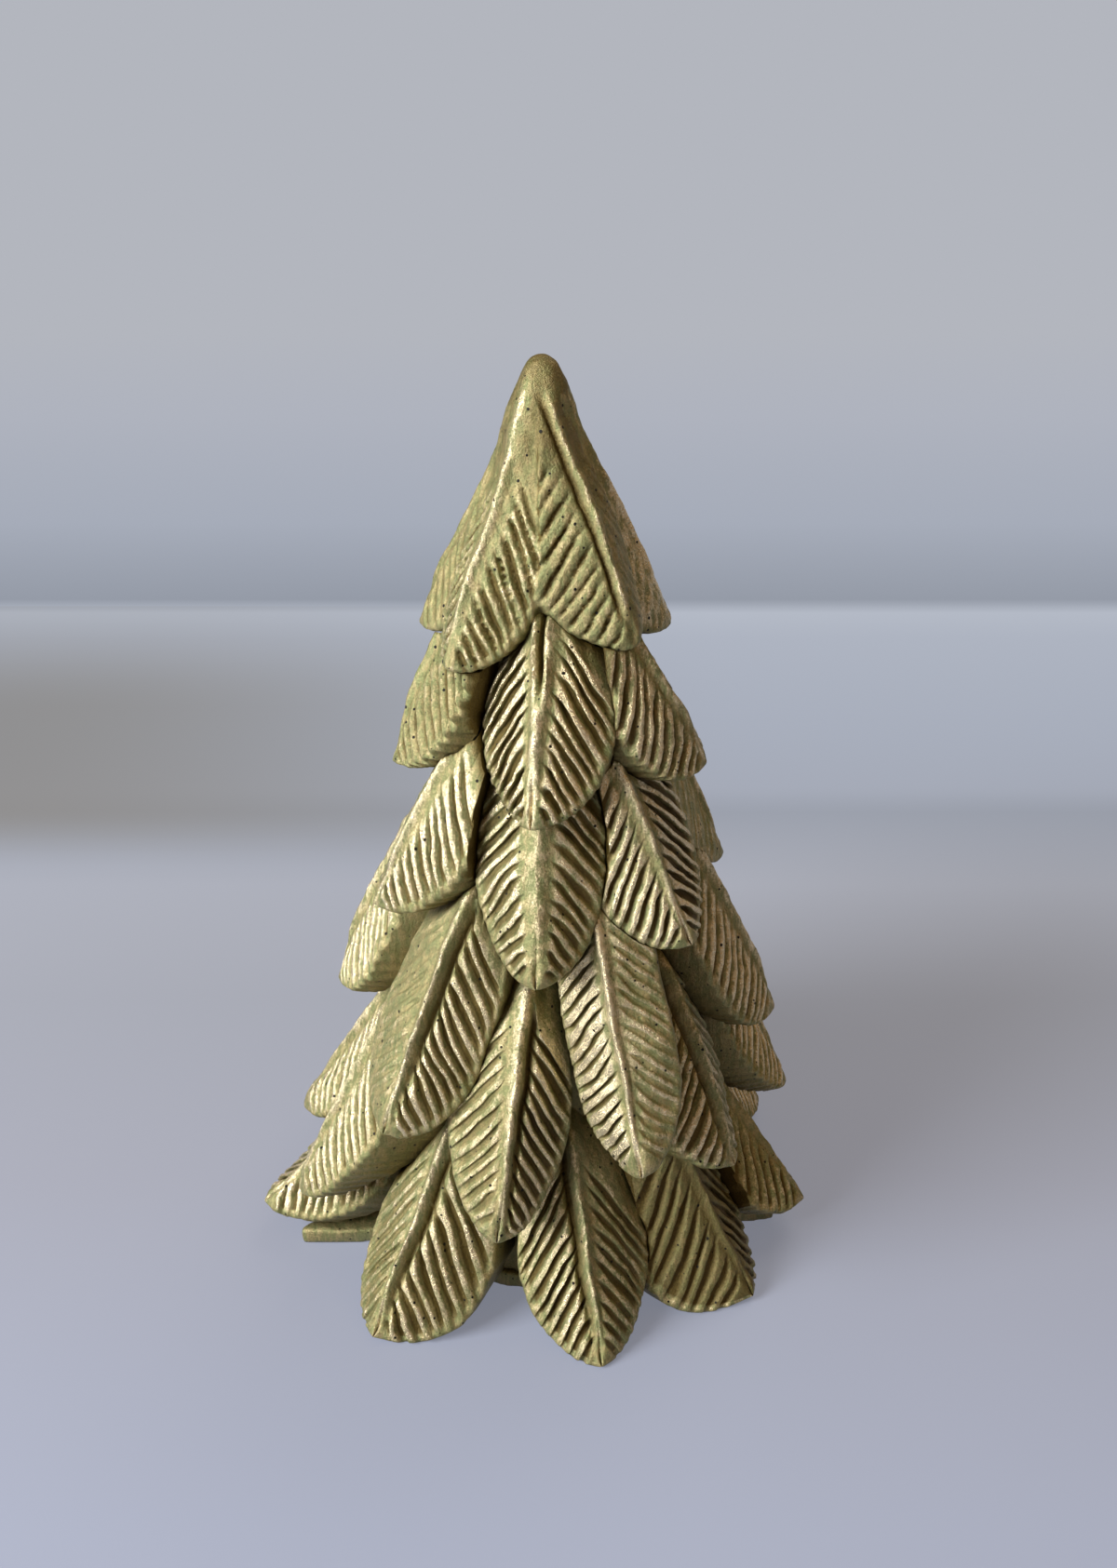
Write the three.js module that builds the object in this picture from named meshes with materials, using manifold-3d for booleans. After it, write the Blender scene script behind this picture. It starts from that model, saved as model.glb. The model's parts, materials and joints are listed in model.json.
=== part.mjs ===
// A small concrete Christmas tree: one casting, modelled as the forms it was sculpted from.
// A tapered core stands on a lobed foot. Six tiers of thick feather-veined leaves hang on the
// core like shingles, and a ridged cap closes the top. Millimetres, +Z up, origin at the centre
// of the underside. Azimuth 0 faces the viewer (-Y) and grows towards +X.

import * as THREE from 'three';
import { mergeVertices } from 'three/addons/utils/BufferGeometryUtils.js';
import Module from 'manifold-3d';

const { degToRad, euclideanModulo, lerp, clamp } = THREE.MathUtils;

// Driving dimensions

const TREE_HEIGHT = 122;
const CLEARANCE = 0.35; // seam between neighbouring forms

const FOOT_THICKNESS = 2.4;
const FOOT_RADIUS = 21.5;
const FOOT_INSET = 2.2; // how far a lobe of the foot stays behind the leaf above it
const LIP_RADIUS = 28.5; // leaf tips that reach further out may hang down in front of the foot

const CORE_BASE_RADIUS = 21;
const CORE_TOP_RADIUS = 5;

const CAP_HEIGHT = 12.5;
const CAP_TIP_RADIUS = 2.3;
const CAP_RIDGE = 0.8; // how far the ridges of the cap stand over the valleys between them
const CROWN_START = 7.5; // the roots of the top tier begin this far below the apex

const LEAF_ROOF = Math.tan(degToRad(27)); // fall from midrib to edge
const LEAF_TIP_THICKNESS = 2.3;
const LEAF_HEEL_RISE = 12; // a leaf's underside meets the core this far above its tip
const LEAF_HEEL_DEPTH = 1; // and goes this deep into it before it is trimmed
const LEAF_DRAFT = Math.tan(degToRad(12)); // side walls lean in towards the underside
const LEAF_CROWN = 0.45; // swell of each half between midrib and edge
const LEAF_COVER = 3; // nothing of a lower leaf may stand over an upper one within this height

const BLADE_PARTS = 3; // the blade's crest and underside bend this often
const BLADE_END = 0.9; // the last vein leaves the midrib at this place
const TIP_PLACES = [0.965, 0.999]; // further points of the outline
const VEIN_PITCH = 2.8; // along the midrib
const VEIN_DEPTH = 0.7;
const VEIN_DEEPEST = 0.28; // share of the way from midrib to edge
const VEIN_RUN_OUT = 0.55; // share of the depth that is left at the edge
const VEIN_SLOPE = 1.3; // how far a vein runs tipwards for each millimetre outwards
const GUTTER_DEPTH = 0.5; // groove along one side of some midribs
const RIB_HEIGHT = 0.55;
const RIB_ROOT_HALF_WIDTH = 1.25;
const RIB_TIP_HALF_WIDTH = 0.5;

// Tiers from the top down. reach and tipHeight place the leaf tips, overlap is how far the roots
// tuck in above the tips of the tier above, and splay is the gain in radius for each millimetre
// of fall. A leaf has halfWidth at the place called widest and rootShare of it at the root, and
// fullness makes its tip blunt. Its veins begin at bladeStart, bow arches it outwards, and tuck
// bends its root in towards the core. Each leaf has its azimuth. It may lean (its root is turned
// by so many degrees), roll about its midrib, stick out, sit up, be wider, have a wider right
// half (a positive skew) or left half, or values of its own.
// The leaves of a tier are listed in the order in which they lie over one another. Those of a
// creased tier meet in straight valleys instead, and are listed around the tree.
const LAYOUT_HEIGHT = 122; // the layout is for a tree of this height, and grows with the tree
const LAYOUT_LENGTHS = ['reach', 'tipHeight', 'overlap', 'halfWidth', 'bow', 'tuck', 'out', 'up', 'wider'];
const LAYOUT = [
  {
    reach: 15.5, tipHeight: 89, splay: 0.47, creased: true,
    halfWidth: 7.2, widest: 0.6, fullness: 2.2, bladeStart: -0.3, bow: 0.4, tuck: 0, rootShare: 0.85,
    leaves: [
      { azimuth: 45, lean: -17, up: 1.7, skew: -0.28, fullness: 1.5, widest: 0.42 },
      { azimuth: 90, lean: -12, out: 0.6, bow: 0 },
      { azimuth: 146, lean: -8 },
      { azimuth: -146, lean: -8 },
      { azimuth: -92, lean: -4, out: -0.4 },
      { azimuth: -47, lean: 5, up: -1.2, skew: 0.08, fullness: 2.4, widest: 0.42 },
    ],
  },
  {
    reach: 20.2, tipHeight: 73, overlap: 8, splay: 0.47,
    halfWidth: 7.8, widest: 0.6, fullness: 1.9, bladeStart: 0.05, bow: 0.5, tuck: 3, rootShare: 0.5,
    leaves: [
      { azimuth: -4, lean: 9, up: -1, roll: -20, wider: 0.4, gutter: 1 },
      { azimuth: 68, lean: -30, out: 1.6, up: 0.9, roll: 22 },
      { azimuth: -75, lean: -4, out: -1, roll: -10 },
      { azimuth: 140, lean: -10 },
      { azimuth: -142, lean: 6 },
    ],
  },
  {
    reach: 25, tipHeight: 54, overlap: 9, splay: 0.47,
    halfWidth: 8, widest: 0.58, fullness: 1.6, bladeStart: 0.08, bow: 0.5, tuck: 3, rootShare: 0.5,
    leaves: [
      { azimuth: -2, lean: 2, up: -1.7, roll: -4 },
      { azimuth: 45, lean: -14, out: 0.7, fullness: 1.9 },
      { azimuth: -60, lean: 20, out: -0.8, up: 2.2, roll: -18 },
      { azimuth: 99, lean: 2, out: -0.8 },
      { azimuth: -134, lean: 4, out: -3 },
      { azimuth: 146, lean: -6 },
      { azimuth: -174, lean: 5 },
    ],
  },
  {
    reach: 31.5, tipHeight: 31.5, overlap: 10, splay: 0.46,
    halfWidth: 7.8, widest: 0.6, fullness: 2.4, bladeStart: 0.14, bow: 0.6, tuck: 3, rootShare: 0.5,
    leaves: [
      { azimuth: 22, lean: -3, out: 1.3, up: -3.6, roll: -28, wider: -1, skew: -0.06 },
      { azimuth: -40, lean: 12, up: -2, gutter: 1 },
      { azimuth: 85, lean: -6, up: 1.8 },
      { azimuth: -94, lean: -4, out: -3, up: 3.9 },
      { azimuth: 142, lean: -8 },
      { azimuth: -148, lean: 8 },
    ],
  },
  {
    reach: 34, tipHeight: 16, overlap: 18, splay: 0.5,
    halfWidth: 7.8, widest: 0.58, fullness: 1.5, bladeStart: 0.12, bow: 0.6, tuck: 3, rootShare: 0.5,
    leaves: [
      { azimuth: -10, lean: 4, out: -1.2, up: 3, roll: 7, gutter: 1 },
      { azimuth: 53, lean: 4, out: -2.4, up: 4.3, fullness: 2.2 },
      { azimuth: -66, lean: 12, out: 2.6, up: -3.8, roll: -20 },
      { azimuth: 96, lean: 8, out: 0.8 },
      { azimuth: -97, lean: 6, out: 1.5, up: -5, splay: 0.65 },
      { azimuth: 138, lean: -4 },
      { azimuth: -140, lean: 5 },
      { azimuth: 178, lean: 0 },
    ],
  },
  {
    reach: 37, tipHeight: 1.2, overlap: 13, splay: 0.6,
    halfWidth: 8.8, widest: 0.6, fullness: 1.5, bladeStart: 0.12, bow: -0.6, tuck: 3, rootShare: 0.5,
    leaves: [
      { azimuth: 12, lean: -3, out: -0.8, up: -0.6, gutter: -1 },
      { azimuth: -36, lean: 4, out: 1.2, fullness: 2.2, gutter: 1 },
      { azimuth: 50, lean: -3, out: -0.3, fullness: 2.2 },
      { azimuth: 77, lean: 6, out: 0.7, up: 3.6, splay: 0.75 },
      { azimuth: -77, lean: 4, out: 3.4, up: 3.6, splay: 1, lobeTurn: 7 },
      { azimuth: 118, lean: 2, up: 1 },
      { azimuth: -120, lean: -2, up: 1 },
      { azimuth: 158, lean: 0 },
      { azimuth: -162, lean: 0 },
    ],
  },
];

// Olive paint with gold brushed over it, thin on the core and foot, where the brush hardly reaches
const GILDED = { color: 0x8f8a48, roughness: 0.45, metalness: 0.6 };
const OLIVE = { color: 0x6b6636, roughness: 0.55, metalness: 0.4 };

const wasm = await Module();
wasm.setup();

function toSize(row) {
  const grown = LAYOUT_LENGTHS.filter((name) => name in row)
    .map((name) => [name, (row[name] * TREE_HEIGHT) / LAYOUT_HEIGHT]);
  return { ...row, ...Object.fromEntries(grown) };
}

const tiers = LAYOUT.map((tier) => ({ ...toSize(tier), leaves: tier.leaves.map(toSize) }));

// Places and solids

function onCylinder(azimuth, radius, height) {
  const angle = degToRad(azimuth);
  return new THREE.Vector3(radius * Math.sin(angle), -radius * Math.cos(angle), height);
}

function toSolid(geometry) {
  const bare = geometry.clone();
  bare.deleteAttribute('normal');
  bare.deleteAttribute('uv');
  const merged = mergeVertices(bare, 1e-4);
  const mesh = new wasm.Mesh({
    numProp: 3,
    vertProperties: new Float32Array(merged.attributes.position.array),
    triVerts: new Uint32Array(merged.index.array),
  });
  return new wasm.Manifold(mesh);
}

function toGeometry(solid) {
  const mesh = solid.getMesh();
  const geometry = new THREE.BufferGeometry();
  geometry.setAttribute('position', new THREE.BufferAttribute(new Float32Array(mesh.vertProperties), 3));
  geometry.setIndex(new THREE.BufferAttribute(new Uint32Array(mesh.triVerts), 1));
  return geometry;
}

function largestBody(solid) {
  return solid.decompose().reduce((best, body) => (body.volume() > best.volume() ? body : best));
}

function boxesMeet(a, b) {
  const p = a.boundingBox();
  const q = b.boundingBox();
  return [0, 1, 2].every((i) => p.min[i] < q.max[i] && q.min[i] < p.max[i]);
}

function subtractAll(solid, tools) {
  return tools.reduce((rest, tool) => (boxesMeet(rest, tool) ? rest.subtract(tool) : rest), solid);
}

// A closed skin that is put together face by face.
class Skin {
  points = [];

  index = [];

  add(point, at) {
    return { at, id: this.points.push(point) - 1 };
  }

  face(a, b, c) {
    this.index.push(a.id, b.id, c.id);
  }

  quad(a, b, c, d) {
    this.face(a, b, c);
    this.face(a, c, d);
  }

  // Joins two neighbouring lines, which may differ in number of points, in step with their stations.
  lace(line, next) {
    let i = 0;
    let j = 0;
    while (i + 1 < line.length || j + 1 < next.length) {
      const nextIsDone = j + 1 === next.length;
      if (nextIsDone || (i + 1 < line.length && line[i + 1].at <= next[j + 1].at)) {
        this.face(line[i], next[j], line[i + 1]);
        i += 1;
      } else {
        this.face(line[i], next[j], next[j + 1]);
        j += 1;
      }
    }
  }

  // Closes both ends of a tube whose lines are given in order around it.
  closeEnds(lines) {
    const starts = lines.map((line) => line[0]);
    const ends = lines.map((line) => line[line.length - 1]);
    for (let i = 1; i + 1 < lines.length; i += 1) {
      this.face(starts[0], starts[i + 1], starts[i]);
      this.face(ends[0], ends[i], ends[i + 1]);
    }
  }

  geometry() {
    const positions = this.points.flatMap((p) => [p.x, p.y, p.z]);
    const geometry = new THREE.BufferGeometry();
    geometry.setAttribute('position', new THREE.Float32BufferAttribute(positions, 3));
    geometry.setIndex(this.index);
    return geometry;
  }
}

// Core

const capBase = TREE_HEIGHT - CAP_HEIGHT;

function coreRadius(height) {
  const share = (height - FOOT_THICKNESS) / (capBase - FOOT_THICKNESS);
  return lerp(CORE_BASE_RADIUS, CORE_TOP_RADIUS, clamp(share, 0, 1));
}

function coreGeometry(grow) {
  const profile = [
    new THREE.Vector2(0, FOOT_THICKNESS - grow),
    new THREE.Vector2(CORE_BASE_RADIUS + grow, FOOT_THICKNESS - grow),
    new THREE.Vector2(CORE_TOP_RADIUS + grow, capBase),
    new THREE.Vector2(0, capBase),
  ];
  return new THREE.LatheGeometry(profile, 20).rotateX(Math.PI / 2);
}

// Leaves

function leafShape(tier, leaf, rootHeight) {
  const merged = { ...tier, ...leaf };
  const reach = tier.reach + (leaf.out ?? 0);
  const tipHeight = tier.tipHeight + (leaf.up ?? 0);
  const rootReach = reach - merged.splay * (rootHeight - tipHeight);
  const root = onCylinder(leaf.azimuth + leaf.lean, rootReach, rootHeight);
  const tip = onCylinder(leaf.azimuth, reach, tipHeight);
  const along = tip.clone().sub(root);
  const length = along.length();
  along.normalize();
  const outward = onCylinder(leaf.azimuth + leaf.lean / 2 + (leaf.roll ?? 0), 1, 0);
  outward.addScaledVector(along, -outward.dot(along)).normalize();
  const side = new THREE.Vector3().crossVectors(outward, along);

  const heelHeight = tipHeight + LEAF_HEEL_RISE;
  const heelReach = coreRadius(heelHeight) - LEAF_HEEL_DEPTH;
  const toHeel = onCylinder(leaf.azimuth, heelReach, heelHeight).sub(tip);
  const wedge = (-toHeel.dot(outward) - LEAF_TIP_THICKNESS) / -toHeel.dot(along);

  const halfWidth = tier.halfWidth + (leaf.wider ?? 0);
  return { ...merged, root, tip, along, outward, side, length, wedge: Math.max(wedge, 0.1), halfWidth };
}

// Half width of a leaf at a place from 0 at the root to 1 at the tip.
function leafHalfWidth(shape, place) {
  const least = 0.15;
  if (place <= shape.widest) {
    const swell = Math.sin((Math.PI / 2) * (Math.max(place, 0) / shape.widest));
    return shape.halfWidth * lerp(shape.rootShare, 1, swell);
  }
  const past = Math.min((place - shape.widest) / (1 - shape.widest), 1);
  return Math.max(shape.halfWidth * (1 - past ** shape.fullness) ** 0.5, least);
}

// The place on the edge where a vein ends that leaves the midrib at the given place.
function veinEnd(shape, place) {
  let low = place;
  let high = 1;
  for (let i = 0; i < 20; i += 1) {
    const middle = (low + high) / 2;
    const run = (VEIN_SLOPE * leafHalfWidth(shape, middle)) / shape.length;
    if (middle - run < place) low = middle;
    else high = middle;
  }
  return high;
}

// A point of the leaf's skin: place along it, distance across it and depth under the midrib. What
// grows gets longer too, the more the nearer to the tip.
function leafPoint(shape, place, across, depth, grow = 0) {
  const tuckEnd = 0.15;
  const arch = 4 * shape.bow * place * (1 - place);
  const tuck = shape.tuck * Math.max(1 - place / tuckEnd, 0) ** 2;
  return shape.root.clone()
    .addScaledVector(shape.along, place * shape.length + grow * Math.max(place, 0) ** 2)
    .addScaledVector(shape.side, across)
    .addScaledVector(shape.outward, arch - tuck - depth);
}

// Fall of the smooth upper face below the midrib line, with a slight crown on each half.
function roofFall(edgeHalf, across) {
  const share = across / edgeHalf;
  return LEAF_ROOF * across - 4 * LEAF_CROWN * share * (1 - share);
}

// Depth of the underside, which runs from the tip's thickness back into the core.
function undersideDepth(shape, place, edgeHalf) {
  const back = (1 - place) * shape.length;
  const depth = LEAF_ROOF * edgeHalf + LEAF_TIP_THICKNESS + shape.wedge * back;
  const onMidrib = leafPoint(shape, place, 0, 0);
  const toAxis = Math.hypot(onMidrib.x, onMidrib.y) / Math.hypot(shape.outward.x, shape.outward.y);
  return Math.min(depth, 0.96 * toAxis);
}

// A place on the blade, from 0 at its start to 1 at its last vein.
function bladePlace({ bladeStart }, share) {
  return lerp(bladeStart, BLADE_END, share);
}

// The places along a leaf where its crest and underside have points. The stem comes first.
function mainPlaces(shape) {
  const { bladeStart } = shape;
  const places = [Math.min(0, bladeStart - 0.05), bladeStart - 0.015];
  for (let i = 0; i <= BLADE_PARTS; i += 1) places.push(bladePlace(shape, i / BLADE_PARTS));
  return [...places, ...TIP_PLACES];
}

// The places where the upper face has points: a ridge at each, and after it a groove if there is
// one. An envelope has no grooves and fewer ridges, but both have one at every main place.
function ridgeRows(shape, veined) {
  const bladeLength = (BLADE_END - shape.bladeStart) * shape.length;
  const veinsInPart = Math.round(bladeLength / (BLADE_PARTS * VEIN_PITCH));
  const steps = BLADE_PARTS * (veined ? veinsInPart : Math.ceil(veinsInPart / 2));
  const rows = mainPlaces(shape).slice(0, 2).map((place) => ({ place }));
  for (let i = 0; i < steps; i += 1) {
    const groove = veined ? bladePlace(shape, (i + 0.5) / steps) : null;
    rows.push({ place: bladePlace(shape, i / steps), groove });
  }
  for (const place of [BLADE_END, ...TIP_PLACES]) rows.push({ place });
  return rows;
}

// One half of a leaf's cross-section that follows the vein from a place on the midrib.
function halfSection(shape, place, sign) {
  const isStem = place < shape.bladeStart;
  const edgePlace = isStem ? place : veinEnd(shape, place);
  const ribHalf = lerp(RIB_ROOT_HALF_WIDTH, RIB_TIP_HALF_WIDTH, Math.max(place, 0) ** 0.6);
  const sideShare = 1 + sign * (shape.skew ?? 0);
  const edgeHalf = isStem ? ribHalf + 0.3 : sideShare * leafHalfWidth(shape, edgePlace);
  const footHalf = Math.min(ribHalf, 0.8 * edgeHalf);
  const gutter = shape.gutter === sign && !isStem ? GUTTER_DEPTH * (1 - place ** 4) : 0;
  const footDepth = roofFall(edgeHalf, footHalf) + gutter;
  return { edgePlace, edgeHalf, edgeDepth: roofFall(edgeHalf, edgeHalf), footHalf, footDepth };
}

// One half of a leaf: the lines along the foot of the midrib, the edge, the rim below a raised
// edge and the underside edge, and the upper face between the first two. Ridges and grooves
// follow the veins, so their outer ends lie further towards the tip. A groove is deepest near
// the midrib.
function leafHalf(skin, shape, rows, sign, { grow, rise }) {
  const add = (station, place, across, depth) => {
    return skin.add(leafPoint(shape, place, sign * across, depth, grow), station);
  };
  const [foot, edge, rim] = [[], [], []];
  const points = rows.map(({ place, groove }) => {
    const section = halfSection(shape, place, sign);
    const outer = section.edgeHalf + grow + LEAF_DRAFT * rise;
    const row = {
      foot: add(place, place, section.footHalf, section.footDepth - rise),
      edge: add(place, section.edgePlace, outer, section.edgeDepth - rise),
    };
    foot.push(row.foot);
    edge.push(row.edge);
    if (rise > 0) rim.push(add(place, section.edgePlace, section.edgeHalf + grow, section.edgeDepth));
    if (groove) {
      const cut = halfSection(shape, groove, sign);
      const inner = lerp(cut.footHalf, cut.edgeHalf, VEIN_DEEPEST);
      const innerDepth = roofFall(cut.edgeHalf, inner) + VEIN_DEPTH;
      row.inner = add(groove, lerp(groove, cut.edgePlace, VEIN_DEEPEST), inner, innerDepth);
      row.notch = add(groove, cut.edgePlace, cut.edgeHalf, cut.edgeDepth + VEIN_RUN_OUT * VEIN_DEPTH);
      edge.push(row.notch);
    }
    return row;
  });
  const bottom = mainPlaces(shape).map((place) => {
    const { edgePlace, edgeHalf, edgeDepth } = halfSection(shape, place, sign);
    const depth = undersideDepth(shape, edgePlace, edgeHalf);
    const across = Math.max(edgeHalf - LEAF_DRAFT * (depth - edgeDepth), 0.35 * edgeHalf);
    return add(place, edgePlace, across + grow, depth + grow);
  });

  const face = (a, b, c) => (sign > 0 ? skin.face(a, b, c) : skin.face(a, c, b));
  for (let k = 0; k + 1 < points.length; k += 1) {
    const [row, next] = [points[k], points[k + 1]];
    if (row.inner) {
      face(row.foot, row.inner, row.edge);
      face(row.foot, next.foot, row.inner);
      face(next.foot, next.edge, row.inner);
      face(row.edge, row.inner, row.notch);
      face(row.notch, row.inner, next.edge);
    } else {
      face(row.foot, next.foot, next.edge);
      face(row.foot, next.edge, row.edge);
    }
  }
  return { foot, edge, rim, bottom };
}

// The leaf itself, or an envelope of it that is grown on all sides and stands higher on top.
function leafGeometry(shape, { grow, rise, veined }) {
  const rows = ridgeRows(shape, veined);
  const skin = new Skin();
  const crest = mainPlaces(shape).map((place) => {
    const height = RIB_HEIGHT * (1 - Math.max(place, 0) ** 6) + grow + rise;
    return skin.add(leafPoint(shape, place, 0, -height, grow), place);
  });
  const right = leafHalf(skin, shape, rows, 1, { grow, rise });
  const left = leafHalf(skin, shape, rows, -1, { grow, rise });

  const top = [right.foot, crest, left.foot];
  const around = [left.edge, left.rim, left.bottom, right.bottom, right.rim, right.edge];
  const below = around.filter((line) => line.length > 0);
  for (const lines of [top, below]) {
    for (let i = 0; i + 1 < lines.length; i += 1) skin.lace(lines[i], lines[i + 1]);
  }
  skin.closeEnds([...top, ...below]);
  return skin.geometry();
}

// The space beyond the valley between a leaf and its neighbour, less half the seam.
function beyondValley(shape, neighbour) {
  const middle = (point, other) => point.clone().add(other).multiplyScalar(0.5);
  const top = middle(shape.root, neighbour.root);
  const bottom = middle(shape.tip, neighbour.tip);
  const radial = new THREE.Vector3(bottom.x, bottom.y, 0);
  const normal = bottom.clone().sub(top).cross(radial).normalize();
  if (normal.dot(neighbour.tip.clone().sub(shape.tip)) < 0) normal.negate();
  const size = 200;
  const box = new THREE.BoxGeometry(size, size, size).translate(0, 0, size / 2 - CLEARANCE / 2);
  box.applyQuaternion(new THREE.Quaternion().setFromUnitVectors(new THREE.Vector3(0, 0, 1), normal));
  return toSolid(box.translate(bottom.x, bottom.y, bottom.z));
}

// Cap: a blunt cone whose ridges run on into the midribs of the top tier

function capGeometry() {
  const tier = tiers[0];
  const sectors = 30;
  const valley = 32; // degrees from a ridge to the valley beside it
  const rootHeight = TREE_HEIGHT - CROWN_START;
  const atBase = (rootHeight - capBase) / (rootHeight - tier.tipHeight);
  const baseRadius = tier.reach - tier.splay * (capBase - tier.tipHeight) + RIB_HEIGHT;
  const ridges = tier.leaves.map(({ azimuth, lean }) => ({
    top: azimuth + lean,
    base: azimuth + lean * (1 - atBase),
  }));

  const skin = new Skin();
  const rings = [0, 0.3, 0.6, 0.8, 0.92, 0.98, 1].map((share) => {
    const fromApex = (1 - share) * CAP_HEIGHT;
    const cone = lerp(baseRadius, 0.7 * CAP_TIP_RADIUS, share);
    const dome = Math.sqrt(3 * CAP_TIP_RADIUS * fromApex);
    const radius = Math.max(Math.min(cone, dome), 0.6);
    const ring = [];
    for (let i = 0; i <= sectors; i += 1) {
      const azimuth = (360 * (i % sectors)) / sectors;
      const turns = ridges.map(({ top, base }) => {
        const turn = azimuth - lerp(base, top, share);
        return Math.abs(euclideanModulo(turn + 180, 360) - 180);
      });
      const fall = CAP_RIDGE * Math.min(Math.min(...turns) / valley, 1) * Math.sqrt(1 - share);
      ring.push(skin.add(onCylinder(azimuth, radius - fall, capBase + share * CAP_HEIGHT), i));
    }
    return ring;
  });
  for (let r = 0; r + 1 < rings.length; r += 1) {
    for (let i = 0; i < sectors; i += 1) {
      skin.quad(rings[r][i], rings[r][i + 1], rings[r + 1][i + 1], rings[r + 1][i]);
    }
  }
  const bottom = rings[0];
  const top = rings[rings.length - 1];
  for (let i = 1; i + 1 < sectors; i += 1) {
    skin.face(bottom[0], bottom[i + 1], bottom[i]);
    skin.face(top[0], top[i], top[i + 1]);
  }
  return mergeVertices(skin.geometry(), 1e-4);
}

// Foot: a disc with a lobe under each base leaf

function plate(outline) {
  const shape = new THREE.Shape(outline);
  return toSolid(new THREE.ExtrudeGeometry(shape, { depth: FOOT_THICKNESS, bevelEnabled: false }));
}

// The plan outline of a base leaf, drawn in by the foot's inset. lobeTurn swings it round by so
// many degrees.
function lobeOutline(shape) {
  const steps = 3;
  const bluntEnd = 0.995;
  const inside = 8; // the lobe starts well inside the disc
  const out = new THREE.Vector2(shape.tip.x, shape.tip.y);
  const clearsFoot = shape.tip.z - LEAF_TIP_THICKNESS > FOOT_THICKNESS;
  const reach = clearsFoot ? out.length() - 2 * FOOT_INSET : LIP_RADIUS - CLEARANCE;
  out.normalize().rotateAround(new THREE.Vector2(), degToRad(shape.lobeTurn ?? 0));
  const across = new THREE.Vector2(-out.y, out.x);
  const side = (sign) => Array.from({ length: steps + 1 }, (_, i) => {
    const share = Math.sin((Math.PI / 2) * (i / steps));
    const half = leafHalfWidth(shape, lerp(shape.widest, bluntEnd, share)) - FOOT_INSET;
    const point = out.clone().multiplyScalar(lerp(inside, reach, share));
    return point.addScaledVector(across, sign * Math.max(half, 0.4));
  });
  return [...side(-1), ...side(1).reverse()];
}

function footSolid(baseShapes) {
  const disc = new THREE.EllipseCurve(0, 0, FOOT_RADIUS, FOOT_RADIUS);
  const start = plate(disc.getPoints(24).slice(0, -1));
  return baseShapes.reduce((solid, shape) => solid.add(plate(lobeOutline(shape))), start);
}

// Assembly

function addMesh(group, name, geometry, finish) {
  const faceted = geometry.toNonIndexed();
  faceted.computeVertexNormals();
  const mesh = new THREE.Mesh(faceted, new THREE.MeshStandardMaterial(finish));
  mesh.name = name;
  group.add(mesh);
}

function leafShapes(tier, above) {
  const rootHeight = above ? above.tipHeight + tier.overlap : TREE_HEIGHT - CROWN_START;
  return tier.leaves.map((leaf) => leafShape(tier, leaf, rootHeight));
}

// Everything below one height, or everything above it.
function beyondHeight(height, direction) {
  const size = 400;
  const box = new THREE.BoxGeometry(size, size, size);
  return toSolid(box.translate(0, 0, height + direction * (size / 2)));
}

// The space under the base leaves that is kept for the lobes of the foot.
function footSpace() {
  const height = FOOT_THICKNESS + CLEARANCE;
  const disc = new THREE.CylinderGeometry(LIP_RADIUS, LIP_RADIUS, height, 30).rotateX(Math.PI / 2);
  return toSolid(disc.translate(0, 0, height / 2));
}

function buildTree() {
  const tree = new THREE.Group();
  const fixed = [
    toSolid(coreGeometry(CLEARANCE)),
    footSpace(),
    beyondHeight(0, -1),
    beyondHeight(capBase - CLEARANCE, 1),
  ];

  // An upper leaf lies over the ones that come after it, so its envelope trims theirs.
  const envelopes = [];
  let shapes = [];
  tiers.forEach((tier, t) => {
    const group = new THREE.Group();
    shapes = leafShapes(tier, tiers[t - 1]);
    const tierEnvelopes = [];
    shapes.forEach((shape, i) => {
      const neighbours = [shapes.at(i - 1), shapes[(i + 1) % shapes.length]];
      const inTier = tier.creased ? neighbours.map((next) => beyondValley(shape, next)) : tierEnvelopes;
      const whole = toSolid(leafGeometry(shape, { grow: 0, rise: 0, veined: true }));
      const trimmed = largestBody(subtractAll(whole, [...envelopes, ...inTier, ...fixed]));
      addMesh(group, `tier_${t + 1}_leaf_${i + 1}`, toGeometry(trimmed), GILDED);
      const envelope = leafGeometry(shape, { grow: CLEARANCE, rise: LEAF_COVER, veined: false });
      tierEnvelopes.push(toSolid(envelope));
    });
    envelopes.push(...tierEnvelopes);
    tree.add(group);
  });

  addMesh(tree, 'core', coreGeometry(0), OLIVE);
  addMesh(tree, 'cap', capGeometry(), GILDED);
  addMesh(tree, 'foot', toGeometry(footSolid(shapes)), OLIVE);
  return tree;
}

export default buildTree();
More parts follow.
